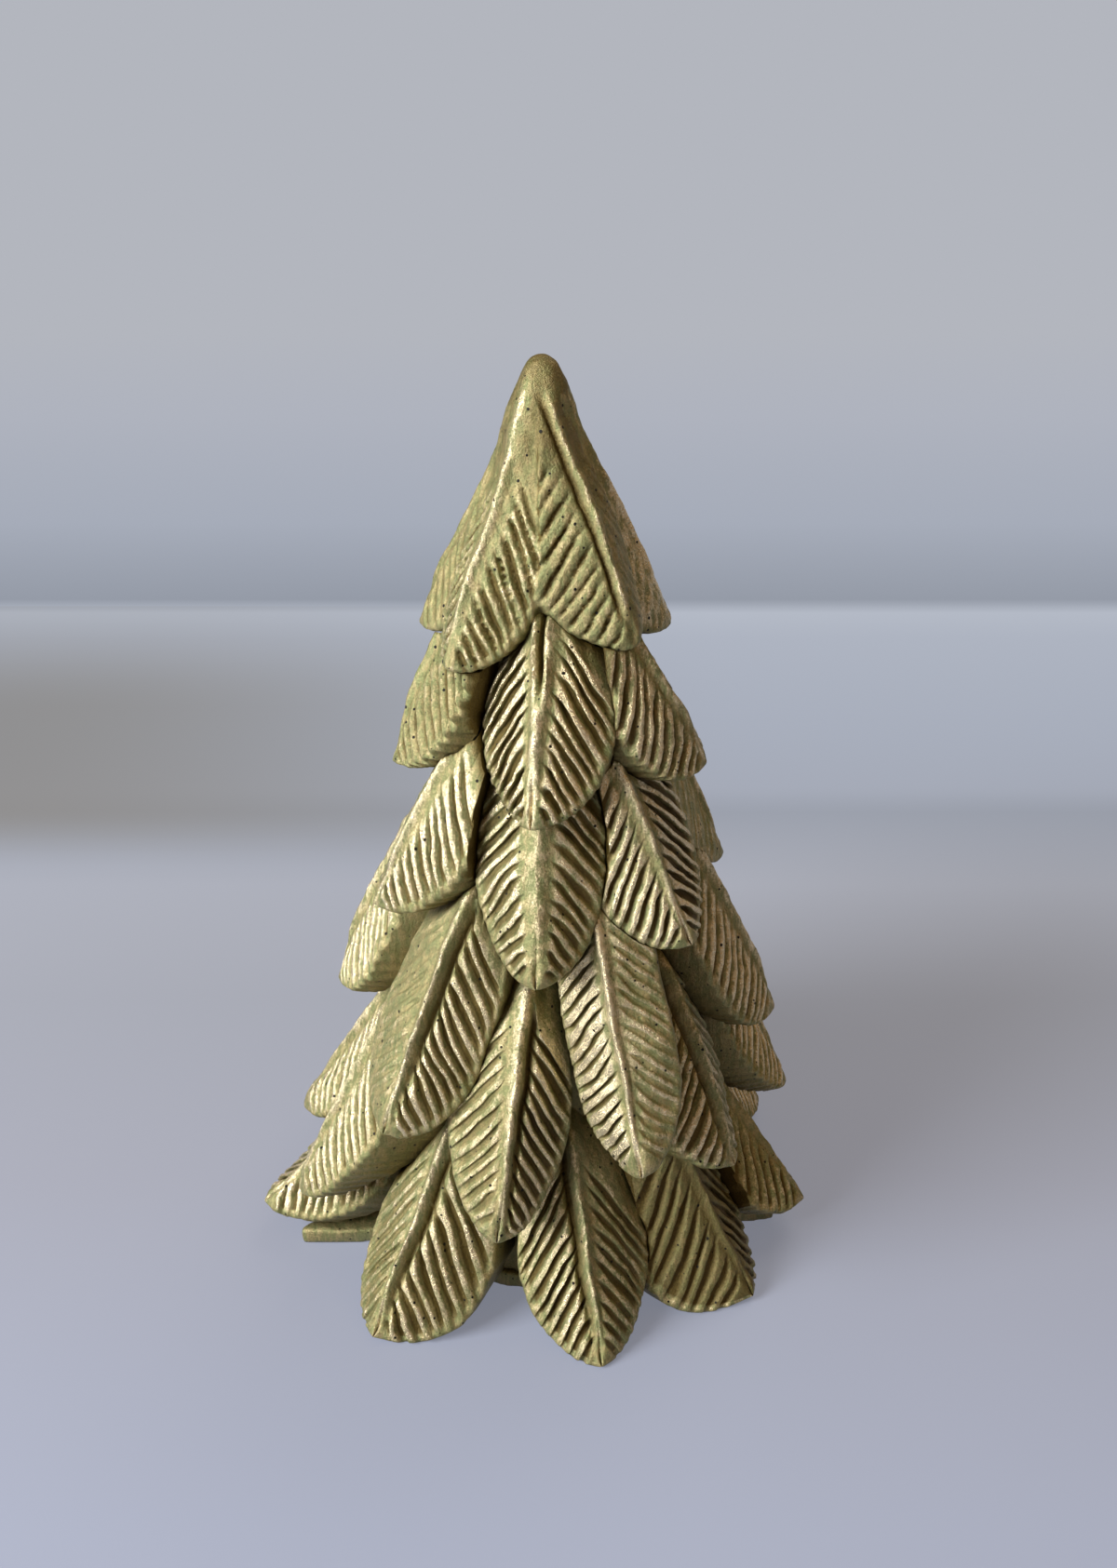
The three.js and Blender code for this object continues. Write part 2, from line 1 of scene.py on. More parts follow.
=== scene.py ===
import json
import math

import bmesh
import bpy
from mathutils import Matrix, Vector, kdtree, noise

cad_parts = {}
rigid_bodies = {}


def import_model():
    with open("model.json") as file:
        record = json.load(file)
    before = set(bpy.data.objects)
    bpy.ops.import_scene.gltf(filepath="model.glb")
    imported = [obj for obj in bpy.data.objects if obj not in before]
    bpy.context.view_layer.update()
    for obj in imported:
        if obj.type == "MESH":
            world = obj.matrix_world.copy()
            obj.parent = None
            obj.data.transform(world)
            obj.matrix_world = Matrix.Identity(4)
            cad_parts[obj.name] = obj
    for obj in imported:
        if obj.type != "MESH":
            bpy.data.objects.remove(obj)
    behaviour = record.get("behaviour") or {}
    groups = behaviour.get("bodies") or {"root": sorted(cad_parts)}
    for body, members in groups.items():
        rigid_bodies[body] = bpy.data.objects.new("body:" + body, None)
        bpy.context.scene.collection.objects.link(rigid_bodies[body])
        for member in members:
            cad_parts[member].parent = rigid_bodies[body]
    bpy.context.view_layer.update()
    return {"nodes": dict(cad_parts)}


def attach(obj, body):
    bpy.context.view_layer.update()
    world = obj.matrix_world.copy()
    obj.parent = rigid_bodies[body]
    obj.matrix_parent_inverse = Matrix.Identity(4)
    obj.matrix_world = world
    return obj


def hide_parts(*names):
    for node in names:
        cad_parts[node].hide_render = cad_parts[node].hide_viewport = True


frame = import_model()

# A tabletop christmas tree cast in concrete: six tiers of carved leaves round a core,
# painted olive and dry-brushed with gold. z is up and the foot stands on z = 0. Shapes are
# worked out in millimetres and made metres when a mesh is finished. Azimuth 0 faces the
# viewer (-y) and grows towards +x.

# Sizes that the scene shares with the solids

TREE_HEIGHT = 122
CORE_BASE_RADIUS = 21
CORE_TOP_RADIUS = 5
FOOT_THICKNESS = 2.4
CAP_HEIGHT = 12.5
CAP_BASE = TREE_HEIGHT - CAP_HEIGHT
CROWN_START = 7.5  # the roots of the top tier begin this far below the apex

LEAF_ROOF_ANGLE = math.radians(27)  # fall from midrib to edge
LEAF_ROOF = math.tan(LEAF_ROOF_ANGLE)
LEAF_TIP_THICKNESS = 2.3
LEAF_HEEL_RISE = 12  # a leaf's underside meets the core this far above its tip
LEAF_HEEL_DEPTH = 1  # and goes this deep into it
LEAF_DRAFT_ANGLE = math.radians(12)  # side walls lean in towards the underside
LEAF_DRAFT = math.tan(LEAF_DRAFT_ANGLE)
LEAF_COVER = 3  # nothing of a lower leaf may stand over an upper one within this height
BLADE_END = 0.9  # the last vein leaves the midrib at this place

# Limits of a leaf's form

LEAST_HALF_WIDTH = 0.15
UNDERSIDE_SHARE = 0.35  # the underside keeps at least this share of the half width
AXIS_SHARE = 0.96  # the underside goes this share of the way to the tree's axis at most
TUCK_END = 0.15  # the place up to which the root bends in towards the core

# The carving, finer than in the solids. The leaves also lie closer to one another

LEAF_CROWN = 0.6  # swell of each half between midrib and edge
LEAF_SEAM = 0.05
RIB_HEIGHT = 0.75
RIB_ROOT_HALF_WIDTH = 1.15
RIB_TIP_HALF_WIDTH = 0.42
VEIN_DEPTH = 0.82
BAR_GROOVE = 0.6  # the share of its width that a groove between broad bars keeps
VEIN_STEPS = 13  # rows of points for each vein
VEIN_WANDER = 0.36  # how far a vein strays from its place, in pitches
GUTTER_DEPTH = 1.0  # groove along one side of some midribs
STEM_BED = 1.1  # the bed of the stem lies this much lower than the blade
EDGE_ROUNDING = 0.7
TIP_DROOP = 1.4  # the last of a leaf, which bends down

# How many points a leaf's rows have, and where the rows past its last vein leave the midrib

TOP_STEPS = 20
EDGE_STEPS = 4
WALL_STEPS = 3
TIP_STATIONS = [0.915, 0.93, 0.944, 0.956, 0.967, 0.976, 0.984, 0.990, 0.995, 0.998, 0.9995]

# The drift of a carver's hand: how far a point moves and the distance over which that turns.
# The seed makes it the same in every run

HAND_DRIFT = [(0.45, 8.0), (0.16, 2.2), (0.05, 0.7)]
HAND_SEED = 5

# The size of the cells that skin a casting

CROWN_SKIN = 0.24
CORE_SKIN = 0.4
FOOT_SKIN = 0.32

# How the cap and the top tier become one. The last rows say which leaf of the top tier sends
# its midrib up over the cap, how deep the groove beside it is and how wide its bead is

CROWN_OVERLAP = 0.25  # the leaves of the crown reach this far over their valleys
CROWN_TOP = 117  # and end at this height inside the cap
CROWN_BLEND = 4  # the smoothing of the cap sets in over this height
CAP_RIM_TUCK = 0.86  # the rim of the cap keeps this share of its radius, inside the leaves
CROWN_LINE_DEPTH = 0.5
CROWN_LINES = [(0, 1, 0.34), (5, 0, 0.75)]

# Shine says how much gold a place holds: none in the bottom of a groove, most on a ridge. Below
# about 0.45 the paint turns brown instead, partly the bare base coat and partly painted shade, in
# the grooves, on the walls and undersides of the leaves and on the core. It drops on the crown
# between two heights, which leaves the top browner

PLAIN_SHINE = 0.5
RIDGE_SHINE = 0.95
RIB_SHINE = 0.85
EDGE_SHINE = 0.6
WALL_SHINE = 0.3
WALL_FOOT_SHINE = 0.12
UNDERSIDE_SHINE = 0.05
CAP_SHINE = 0.36
CORE_SHINE = 0.2
FOOT_SHINE = 0.4
CROWN_TOP_SHINE = 0.55  # the share of its shine that the top keeps
CROWN_TOP_SHINE_START = 103
CROWN_TOP_SHINE_END = 114

# Sizes of the paint's patterns in millimetres

STROKE_WIDTH = 0.75
STROKE_PRESS = 0.24  # a stroke's width as a share of its length
PATCH_SIZE = 11  # patches of thicker gold
GRAIN_SIZE = 0.26  # grain of the casting
HOLE_SPACING = 1.28
HOLE_LARGEST = 0.17  # largest radius of an air hole as a share of the spacing
SHADE_REACH = 5  # a form this near darkens the paint: painted shade
PAINT_RELIEF = 0.15

MM = 0.001

# Tiers from the top down, with the leaves of a tier in the order in which they lie over
# one another. The top tier's leaves meet in valleys and are listed around the tree.
#
# reach and tip_height place the leaf tips, overlap is how far the roots tuck in above the tips
# of the tier above, and splay is the gain in radius for each millimetre of fall. A leaf has
# half_width at the place called widest and root_share of it at the root, and fullness makes its
# tip blunt. Its veins begin at blade_start, bow arches it outwards, and tuck bends its root in.
#
# A leaf has its azimuth. It may lean (its root is turned by so many degrees), roll about its
# midrib, stick out, sit up, be wider, have a wider right half (a positive skew) or left half, or
# values of its own. pitch and slope lay out its veins, which are cut only past veins_from.
# right and left say how deep the veins of a half are, bars is the half with broad bars and
# narrow grooves, gutter is the side of the midrib that has a groove, and run_out is the share
# of a vein's depth that is left at the edge. gilt_and_shade is how much gold the brush left,
# and its values, set leaf by leaf, also paint light and shade: below 1 a leaf turns browner and
# darker, painted shade on leaves that lie in shadow, and above 1 more golden, painted light.

TIERS = [
    dict(
        reach=15.5, tip_height=89, splay=0.47, half_width=7.2, widest=0.6, fullness=2.2,
        blade_start=-0.3, bow=0.4, tuck=0, root_share=0.85, veins_from=0.2, rib=0.6,
        leaves=[
            dict(azimuth=45, lean=-17, up=1.7, skew=-0.28, fullness=1.5, widest=0.42, right=0.15,
                 slope=1.2, pitch=2.1, bars=-1, veins_from=-0.02, gilt_and_shade=0.6),
            dict(azimuth=90, lean=-12, out=0.6, bow=0, left=0.1, right=0.3, gilt_and_shade=1.5),
            dict(azimuth=146, lean=-8),
            dict(azimuth=-146, lean=-8),
            dict(azimuth=-92, lean=-4, out=-0.4, right=0.4, bow=0, gilt_and_shade=0.8),
            dict(azimuth=-47, lean=5, up=-1.2, skew=0.08, fullness=2.4, widest=0.42, left=0.8,
                 slope=1.6, pitch=2.2, veins_from=0.1, gilt_and_shade=0.78),
        ],
    ),
    dict(
        reach=20.2, tip_height=73, overlap=8, splay=0.47, half_width=7.8, widest=0.6, fullness=1.9,
        blade_start=0.05, bow=0.5, tuck=3, root_share=0.5,
        leaves=[
            dict(azimuth=-4, lean=9, up=-1, roll=-20, wider=0.4, double_rib=True, slope=1.5,
                 rib_width=1.75),
            dict(azimuth=68, lean=-30, out=1.6, up=0.9, roll=22, run_out=0.95, gilt_and_shade=0.9),
            dict(azimuth=-75, lean=-4, out=-1, roll=-10, run_out=1, gilt_and_shade=0.62),
            dict(azimuth=140, lean=-10),
            dict(azimuth=-142, lean=6),
        ],
    ),
    dict(
        reach=25, tip_height=54, overlap=9, splay=0.47, half_width=8, widest=0.58, fullness=1.6,
        blade_start=0.08, bow=0.5, tuck=3, root_share=0.5,
        leaves=[
            dict(azimuth=-2, lean=2, up=-1.7, roll=-4, slope=1.15, pitch=2.3, rib=0.5, rib_width=2.2,
                 left=0.75, right=0.8),
            dict(azimuth=45, lean=-14, out=0.7, fullness=1.9),
            dict(azimuth=-60, lean=20, out=-0.8, up=2.2, roll=-18, left=0.3),
            dict(azimuth=99, lean=2, out=-0.8, right=0.15, left=0.15),
            dict(azimuth=-134, lean=4, out=-3),
            dict(azimuth=146, lean=-6),
            dict(azimuth=-174, lean=5),
        ],
    ),
    dict(
        reach=31.5, tip_height=31.5, overlap=10, splay=0.46, half_width=7.8, widest=0.6, fullness=2.4,
        blade_start=0.14, bow=0.6, tuck=3, root_share=0.5,
        leaves=[
            dict(azimuth=22, lean=-3, out=1.3, up=-3.6, roll=-28, wider=-1, skew=-0.06, root_share=0.75,
                 right=0.4, left=0.85, slope=1.0, pitch=2.0, bars=-1, gilt_and_shade=1.15),
            dict(azimuth=-40, lean=12, up=-2, gutter=1, left=0.2, gilt_and_shade=0.95),
            dict(azimuth=85, lean=-6, up=1.8),
            dict(azimuth=-94, lean=-4, out=-3, up=3.9),
            dict(azimuth=142, lean=-8),
            dict(azimuth=-148, lean=8),
        ],
    ),
    dict(
        reach=34, tip_height=16, overlap=18, splay=0.5, half_width=7.8, widest=0.58, fullness=1.5,
        blade_start=0.12, bow=0.6, tuck=3, root_share=0.5,
        leaves=[
            dict(azimuth=-10, lean=4, out=-1.2, up=3, roll=7, gutter=1, left=0.6, rib_width=1.3),
            dict(azimuth=53, lean=4, out=-2.4, up=4.3, fullness=2.2, gutter=-1, right=0.7,
                 pitch=2.6, gilt_and_shade=0.9, run_out=0.9),
            dict(azimuth=-66, lean=12, out=2.6, up=-3.8, roll=-20),
            dict(azimuth=96, lean=8, out=0.8),
            dict(azimuth=-97, lean=6, out=1.5, up=-5, splay=0.65),
            dict(azimuth=138, lean=-4),
            dict(azimuth=-140, lean=5),
            dict(azimuth=178, lean=0),
        ],
    ),
    dict(
        reach=37, tip_height=1.2, overlap=13, splay=0.6, half_width=8.8, widest=0.6, fullness=1.5,
        blade_start=0.12, bow=-0.6, tuck=3, root_share=0.5,
        leaves=[
            dict(azimuth=12, lean=-3, out=-0.8, up=-0.6, gutter=-1, slope=1.6, pitch=2.6,
                 right=0.7, gilt_and_shade=0.8),
            dict(azimuth=-36, lean=4, out=1.2, fullness=2.8, gutter=1, slope=1.6, pitch=3.0, left=0.45,
                 skew=0.14, gilt_and_shade=0.92),
            dict(azimuth=50, lean=-3, out=-0.3, fullness=3.6, pitch=2.8, skew=-0.2, gilt_and_shade=0.24),
            dict(azimuth=77, lean=6, out=0.7, up=3.6, splay=0.75, pitch=2.7, gilt_and_shade=0.7),
            dict(azimuth=-77, lean=4, out=3.4, up=3.6, splay=1),
            dict(azimuth=118, lean=2, up=1),
            dict(azimuth=-120, lean=-2, up=1),
            dict(azimuth=158, lean=0),
            dict(azimuth=-162, lean=0),
        ],
    ),
]


# Small sums

def lerp(start, end, share):
    return start + (end - start) * share


def smooth_step(low, high, value):
    share = min(max((value - low) / (high - low), 0), 1)
    return share * share * (3 - 2 * share)


def on_cylinder(azimuth, radius, height):
    angle = math.radians(azimuth)
    return Vector((radius * math.sin(angle), -radius * math.cos(angle), height))


def core_radius(height):
    share = (height - FOOT_THICKNESS) / (CAP_BASE - FOOT_THICKNESS)
    return lerp(CORE_BASE_RADIUS, CORE_TOP_RADIUS, min(max(share, 0), 1))


# Leaves

def leaf_shape(tier, leaf, root_height):
    """A leaf's own numbers, and the line and axes that it is laid out on."""
    defaults = dict(
        out=0, up=0, roll=0, wider=0, skew=0, gutter=0, double_rib=False,
        right=1, left=1, bars=0, gilt_and_shade=1, slope=1.35, pitch=2.35, rib=1, rib_width=1,
        veins_from=-1, run_out=0.4,
    )
    shape = {**defaults, **tier, **leaf}
    reach = shape["reach"] + shape["out"]
    tip_height = shape["tip_height"] + shape["up"]
    azimuth = shape["azimuth"]
    root_azimuth = azimuth + shape["lean"]
    root = on_cylinder(root_azimuth, reach - shape["splay"] * (root_height - tip_height), root_height)
    tip = on_cylinder(azimuth, reach, tip_height)
    along = tip - root
    length = along.length
    along.normalize()
    outward = on_cylinder(azimuth + shape["lean"] / 2 + shape["roll"], 1, 0)
    outward -= along * outward.dot(along)
    outward.normalize()

    heel_height = tip_height + LEAF_HEEL_RISE
    to_heel = on_cylinder(azimuth, core_radius(heel_height) - LEAF_HEEL_DEPTH, heel_height) - tip
    wedge = (-to_heel.dot(outward) - LEAF_TIP_THICKNESS) / -to_heel.dot(along)
    shape.update(
        root=root, tip=tip, along=along, outward=outward, side=outward.cross(along), length=length,
        wedge=max(wedge, 0.1), half_width=shape["half_width"] + shape["wider"],
    )
    return shape


def leaf_half_width(shape, place):
    """Half the width of a leaf at a place from 0 at the root to 1 at the tip."""
    widest = shape["widest"]
    if place <= widest:
        swell = math.sin(math.pi / 2 * max(place, 0) / widest)
        return shape["half_width"] * lerp(shape["root_share"], 1, swell)
    past = min((place - widest) / (1 - widest), 1)
    return max(shape["half_width"] * (1 - past ** shape["fullness"]) ** 0.5, LEAST_HALF_WIDTH)


def vein_end(shape, place):
    """The place on the edge where a vein ends that leaves the midrib at the given place."""
    low, high = place, 1
    for _ in range(20):
        middle = (low + high) / 2
        run = shape["slope"] * leaf_half_width(shape, middle) / shape["length"]
        if middle - run < place:
            low = middle
        else:
            high = middle
    return high


def leaf_point(shape, place, across, depth):
    """A point of a leaf's skin: place along it, distance across it, depth under the midrib."""
    arch = 4 * shape["bow"] * place * (1 - place)
    tuck = shape["tuck"] * max(1 - place / TUCK_END, 0) ** 2
    return (
        shape["root"]
        + shape["along"] * (place * shape["length"])
        + shape["side"] * across
        + shape["outward"] * (arch - tuck - depth)
    )


def roof_fall(edge_half, across):
    """Fall of the smooth upper face below the midrib line, with a crown on each half."""
    share = across / edge_half
    return LEAF_ROOF * across - 4 * LEAF_CROWN * share * (1 - share)


def underside_depth(shape, place, edge_half):
    """Depth of the underside below the midrib line: a wedge that thickens towards the core."""
    back = (1 - place) * shape["length"]
    depth = LEAF_ROOF * edge_half + LEAF_TIP_THICKNESS + shape["wedge"] * back
    on_midrib = leaf_point(shape, place, 0, 0)
    to_axis = on_midrib.to_2d().length / shape["outward"].to_2d().length
    return min(depth, AXIS_SHARE * to_axis)


def stations(shape):
    """Places on the midrib where a leaf's rows of points leave it: stem, blade, tip."""
    start = shape["blade_start"]
    veins = round((BLADE_END - start) * shape["length"] / shape["pitch"])
    rows = veins * VEIN_STEPS
    blade = [lerp(start, BLADE_END, i / rows) for i in range(rows + 1)]
    stem_start = min(0, start - 0.05)
    stem = [lerp(stem_start, start - 0.012, i / 3) for i in range(4)]
    return [*stem, *blade, *TIP_STATIONS]


def section(shape, place, sign):
    """One half of the cross-section that follows the vein from a place on the midrib."""
    is_stem = place < shape["blade_start"]
    edge_place = place if is_stem else vein_end(shape, place)
    rib_half = shape["rib_width"] * lerp(RIB_ROOT_HALF_WIDTH, RIB_TIP_HALF_WIDTH, max(place, 0) ** 0.6)
    edge_half = (1 + sign * shape["skew"]) * leaf_half_width(shape, edge_place)
    return is_stem, edge_place, min(rib_half, 0.8 * edge_half), edge_half


def vein_cut(shape, place, share, sign):
    """How far a place between midrib and edge is cut: 0 on a crest, 1 in a groove."""
    seed = shape["azimuth"] * 0.37 + sign * 3.1
    turns = (place - shape["blade_start"]) * shape["length"] / shape["pitch"]
    turns += VEIN_WANDER * noise.noise(Vector((turns * 0.55, share * 1.6, seed)))
    to_groove = 1 - abs(2 * (turns % 1) - 1)

    # A groove takes a fifth of the pitch at the rib, and most of it from a third of the way out
    width = 0.2 + 0.52 * smooth_step(0.02, 0.35, share)
    if shape["bars"] == sign:
        width *= BAR_GROOVE
    return smooth_step(1 - width, 1 - 0.42 * width, to_groove)


def upper_face(shape, place, across, sign, is_stem, rib_half, edge_half):
    """Depth of the carved upper face under the midrib line, and how bright its paint stands out."""
    share = across / edge_half
    depth = roof_fall(edge_half, across)
    shine = PLAIN_SHINE

    # The stem lies on a smooth bed, lower than the blade. The veins of the blade are pointed
    # at the rib, full soon after it, shallower at the edge and gone at the tip
    if is_stem:
        depth += STEM_BED * smooth_step(rib_half, rib_half + 0.8, across)
    else:
        strength = shape["right"] if sign > 0 else shape["left"]
        past_rib = (across - rib_half) / max(edge_half - rib_half, 0.1)
        run = smooth_step(0, 0.22, past_rib) * lerp(1, shape["run_out"], smooth_step(0.8, 1, share))
        fade = 1 - smooth_step(BLADE_END - 0.03, BLADE_END + 0.02, place)
        fade *= smooth_step(shape["veins_from"] - 0.08, shape["veins_from"] + 0.08, place)
        hand = 0.95 + 0.7 * noise.noise(Vector((place * 9, share * 1.5, shape["azimuth"])))
        cut = vein_cut(shape, place, past_rib, sign)
        depth += VEIN_DEPTH * strength * run * fade * hand * cut
        carved = strength * run * fade
        # Gold on the crests; the bottoms of the grooves turn brown, partly painted shade
        shine = lerp(PLAIN_SHINE, lerp(RIDGE_SHINE, 0, cut), min(carved, 1))

    # Midrib: a rounded bead, or two with a groove between them
    if across < rib_half:
        on_rib = across / rib_half
        bead = 1 - on_rib ** 2
        if shape["double_rib"]:
            split = 1 - smooth_step(0.3, 0.55, place)
            bead = lerp(bead, 1 - (2 * on_rib - 1) ** 2 - 0.9 * max(1 - 2 * on_rib, 0), split)
        height = shape["rib"] * RIB_HEIGHT * (1 - smooth_step(0.65, 0.97, place))
        depth -= height * bead
        shine = lerp(shine, RIB_SHINE, max(bead, 0) * min(shape["rib"], 1))
        if shape["double_rib"] and on_rib < 0.3:
            shine = lerp(shine, 0.1, split)

    # Groove along one side of the midrib
    if shape["gutter"] == sign and not is_stem:
        off = (across - rib_half - 0.35) / 0.45
        groove = math.exp(-off * off) * (1 - place ** 4)
        depth += GUTTER_DEPTH * groove
        # The bottom of the groove turns brown, partly painted shade
        shine = lerp(shine, 0, groove)
    # A leaf's own factor scales its shine: how much gold it holds, and with it painted light on brightly
    # lit leaves and painted shade on leaves in shadow
    return depth, shape["gilt_and_shade"] * shine


def half_profile(shape, place, sign):
    """Points from the midrib over the edge to the middle of the underside, each with its shine."""
    is_stem, edge_place, rib_half, edge_half = section(shape, place, sign)
    rounding = min(EDGE_ROUNDING, 0.8 * edge_half)
    widening = rounding * (1 - math.sin(LEAF_ROOF_ANGLE))
    shoulder = edge_half - widening
    back = (1 - edge_place) * shape["length"]
    droop = 0
    if back < TIP_DROOP:
        droop = 0.6 * TIP_DROOP * (1 - math.sqrt(1 - (1 - back / TIP_DROOP) ** 2))

    def point(across, depth, shine):
        vein_place = lerp(place, edge_place, min(across / edge_half, 1))
        return leaf_point(shape, vein_place, sign * across, depth + droop), shine

    points = []
    for step in range(TOP_STEPS):
        share = step / TOP_STEPS
        across = shoulder * share ** 1.15
        depth, shine = upper_face(shape, place, across, sign, is_stem, rib_half, edge_half)
        points.append(point(across, depth, shine))

    # The rounded edge turns from the slope of the roof into the wall
    depth, shine = upper_face(shape, place, shoulder, sign, is_stem, rib_half, edge_half)
    wall_angle = math.pi / 2 + LEAF_DRAFT_ANGLE
    for step in range(EDGE_STEPS + 1):
        angle = lerp(LEAF_ROOF_ANGLE, wall_angle, step / EDGE_STEPS)
        across = shoulder + rounding * (math.sin(angle) - math.sin(LEAF_ROOF_ANGLE))
        lower = depth + rounding * (math.cos(LEAF_ROOF_ANGLE) - math.cos(angle))
        edge_shine = lerp(max(shine, EDGE_SHINE), WALL_SHINE, step / EDGE_STEPS)
        points.append(point(across, lower, edge_shine))

    bottom = underside_depth(shape, edge_place, edge_half)
    bottom = max(bottom, lower + 0.3)
    foot = max(across - LEAF_DRAFT * (bottom - lower), UNDERSIDE_SHARE * edge_half)
    # The wall darkens towards its foot and the underside turns brown: painted shade under the leaf,
    # partly the bare base coat
    for step in range(1, WALL_STEPS + 1):
        share = step / WALL_STEPS
        wall_shine = lerp(WALL_SHINE, WALL_FOOT_SHINE, share)
        points.append(point(lerp(across, foot, share), lerp(lower, bottom, share), wall_shine))
    points.append(point(0, bottom, UNDERSIDE_SHINE))
    return points


def tube(lines):
    """A closed form whose rows are rings round the leaf, with the shine of each point."""
    rows = len(lines)
    columns = len(lines[0])
    form = bmesh.new()
    bmesh.ops.create_grid(form, x_segments=columns - 1, y_segments=rows - 1, size=1)
    shine = form.verts.layers.float.new("shine")
    for vertex in form.verts:
        column = round((vertex.co.x + 1) / 2 * (columns - 1))
        row = round((vertex.co.y + 1) / 2 * (rows - 1))
        vertex.co, vertex[shine] = lines[row][column]
    bmesh.ops.remove_doubles(form, verts=form.verts, dist=0.002)
    bmesh.ops.holes_fill(form, edges=form.edges, sides=0)
    bmesh.ops.triangulate(form, faces=[face for face in form.faces if len(face.verts) > 4])
    bmesh.ops.recalc_face_normals(form, faces=form.faces)
    return form


def leaf_form(shape):
    """The closed form of a leaf, from its rows."""
    lines = []
    for place in stations(shape):
        right = half_profile(shape, place, 1)
        left = half_profile(shape, place, -1)
        lines.append([*reversed(left), *right[1:]])
    return tube(lines)


def cover_form(shape):
    """The space that a leaf keeps free of lower leaves: its own, a seam, and some way above."""
    lines = []
    for place in stations(shape)[::3]:
        halves = []
        for sign in (1, -1):
            _, edge_place, _, edge_half = section(shape, place, sign)
            edge_depth = roof_fall(edge_half, edge_half)
            bottom = underside_depth(shape, edge_place, edge_half)
            foot = max(edge_half - LEAF_DRAFT * (bottom - edge_depth), UNDERSIDE_SHARE * edge_half)
            brim = edge_half + LEAF_SEAM + LEAF_DRAFT * LEAF_COVER
            halves.append([
                (leaf_point(shape, vein_place, sign * across, depth), 0)
                for vein_place, across, depth in [
                    (place, 0, -LEAF_COVER),
                    (edge_place, brim, edge_depth - LEAF_COVER),
                    (edge_place, edge_half + LEAF_SEAM, edge_depth + 0.3),
                    (edge_place, foot + LEAF_SEAM, bottom + LEAF_SEAM),
                    (edge_place, 0, bottom + LEAF_SEAM),
                ]
            ])
        right, left = halves
        lines.append([*reversed(left), *right[1:]])
    return tube(lines)


# Pieces

def new_piece(name, form, collection=None):
    """An object at the origin with the form as its mesh."""
    mesh = bpy.data.meshes.new(name)
    form.to_mesh(mesh)
    form.free()
    piece = bpy.data.objects.new(name, mesh)
    (collection or bpy.context.scene.collection).objects.link(piece)
    return piece


def settle(piece):
    """Makes the modifiers part of the mesh."""
    view = bpy.context.evaluated_depsgraph_get()
    mesh = bpy.data.meshes.new_from_object(piece.evaluated_get(view))
    mesh.name = piece.name
    piece.modifiers.clear()
    piece.data = mesh


def remesh(piece, size):
    """Skins the piece with cells of the given size, which joins all that overlaps."""
    skin = piece.modifiers.new("skin", "REMESH")
    skin.mode = "VOXEL"
    skin.voxel_size = size


def soften(piece, rounds):
    """Takes the steps out of a skin."""
    softening = piece.modifiers.new("softening", "SMOOTH")
    softening.factor = 0.5
    softening.iterations = rounds


def finish_casting(piece, nodes):
    """Gives the piece the hand's drift and its real size, and its place in the frame."""
    for vertex in piece.data.vertices:
        place = vertex.co.copy()
        off_floor = smooth_step(0, 3, place.z)
        for size, distance in HAND_DRIFT:
            vertex.co += off_floor * size * noise.noise_vector(place / distance)
        vertex.co.z = max(vertex.co.z, 0)
        vertex.co *= MM
    piece.data.update()
    piece.data.shade_smooth()
    piece.data.set_sharp_from_angle(angle=math.radians(60))
    piece.data.materials.clear()
    piece.data.materials.append(gilded_concrete)
    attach(piece, "root")
    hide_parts(*nodes)


def close_cut(form, point, normal):
    """Cuts away all that lies beyond a plane and closes the cut."""
    everything = [*form.verts, *form.edges, *form.faces]
    bmesh.ops.bisect_plane(form, geom=everything, plane_co=point, plane_no=normal, clear_outer=True)
    bmesh.ops.holes_fill(form, edges=form.edges, sides=0)
    bmesh.ops.triangulate(form, faces=[face for face in form.faces if len(face.verts) > 4])


def cut_to_valley(form, shape, neighbour):
    """Cuts a leaf of the crown at the valley between it and its neighbour, a little beyond it."""
    top = (shape["root"] + neighbour["root"]) / 2
    bottom = (shape["tip"] + neighbour["tip"]) / 2
    normal = (bottom - top).cross(Vector((bottom.x, bottom.y, 0))).normalized()
    if normal.dot(neighbour["tip"] - shape["tip"]) < 0:
        normal.negate()
    close_cut(form, bottom + normal * CROWN_OVERLAP, normal)


def node_form(name):
    """A solid of the frame in millimetres, its triangles joined up."""
    form = bmesh.new()
    form.from_mesh(frame["nodes"][name].data)
    bmesh.ops.remove_doubles(form, verts=form.verts, dist=0.001 * MM)
    bmesh.ops.scale(form, verts=form.verts, vec=(1 / MM, 1 / MM, 1 / MM))
    shine = form.verts.layers.float.new("shine")
    for vertex in form.verts:
        vertex[shine] = PLAIN_SHINE
    return form


def copy_shine(piece, source):
    """Takes each point's shine from the nearest point of another mesh."""
    known = source.attributes["shine"].data
    tree = kdtree.KDTree(len(source.vertices))
    for i, vertex in enumerate(source.vertices):
        tree.insert(vertex.co, i)
    tree.balance()
    shine = piece.data.attributes.get("shine") or piece.data.attributes.new("shine", "FLOAT", "POINT")
    for i, vertex in enumerate(piece.data.vertices):
        _, nearest, _ = tree.find(vertex.co)
        shine.data[i].value = known[nearest].value


# Paint

def linear(code):
    """A colour written as sRGB hex, as the linear values that a shader takes."""
    values = []
    for place in (1, 3, 5):
        level = int(code[place:place + 2], 16) / 255
        values.append(level / 12.92 if level <= 0.04045 else ((level + 0.055) / 1.055) ** 2.4)
    return (*values, 1)


def add_node(tree, kind, settings, inputs):
    """Adds a node with its settings; an input takes a value or another node's output."""
    node = tree.nodes.new(kind)
    for name, value in settings.items():
        setattr(node, name, value)
    for name, value in inputs.items():
        if isinstance(value, bpy.types.NodeSocket):
            tree.links.new(value, node.inputs[name])
        else:
            node.inputs[name].default_value = value
    return node


